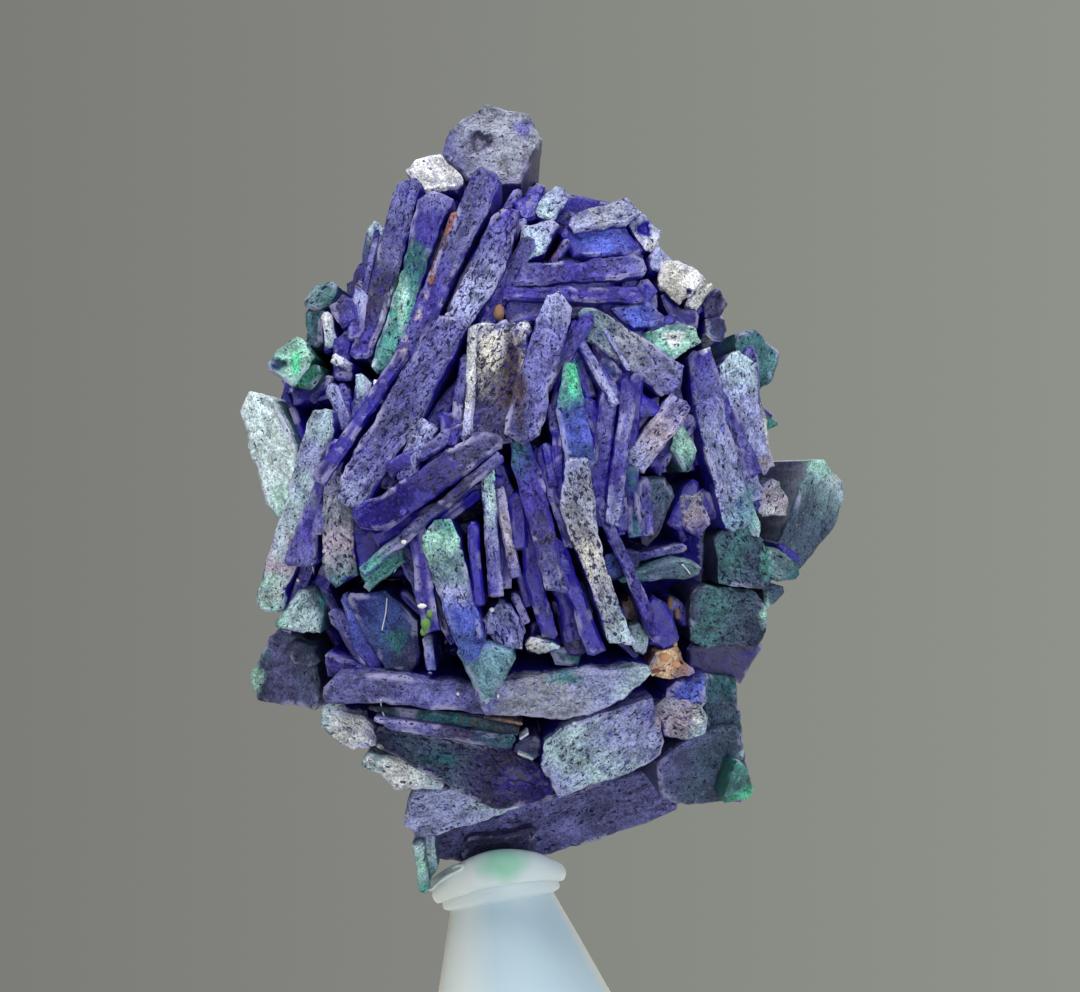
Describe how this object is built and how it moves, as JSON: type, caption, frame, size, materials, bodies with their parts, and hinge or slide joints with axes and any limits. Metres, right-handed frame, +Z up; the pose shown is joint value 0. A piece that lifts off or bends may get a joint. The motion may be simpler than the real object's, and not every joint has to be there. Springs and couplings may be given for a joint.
{
  "type": "azurite specimen",
  "caption": "Ball of intergrown bladed azurite crystals held upright on a leaning, milky plastic cone with a rolled lip.",
  "frame": {"origin": "middle of the holder's flat foot", "axes": "+Z up, X to the right in the picture, +Y away from the camera"},
  "size_m": [0.0303, 0.0288, 0.057],
  "materials": {
    "azurite": "dusty pitted blade edges, clean deep-blue sides, green malachite crusts",
    "milky_plastic": "translucent, satin"
  },
  "bodies": {
    "root": {"azurite_cluster": "azurite", "holder": "milky_plastic"}
  },
  "joints": []
}
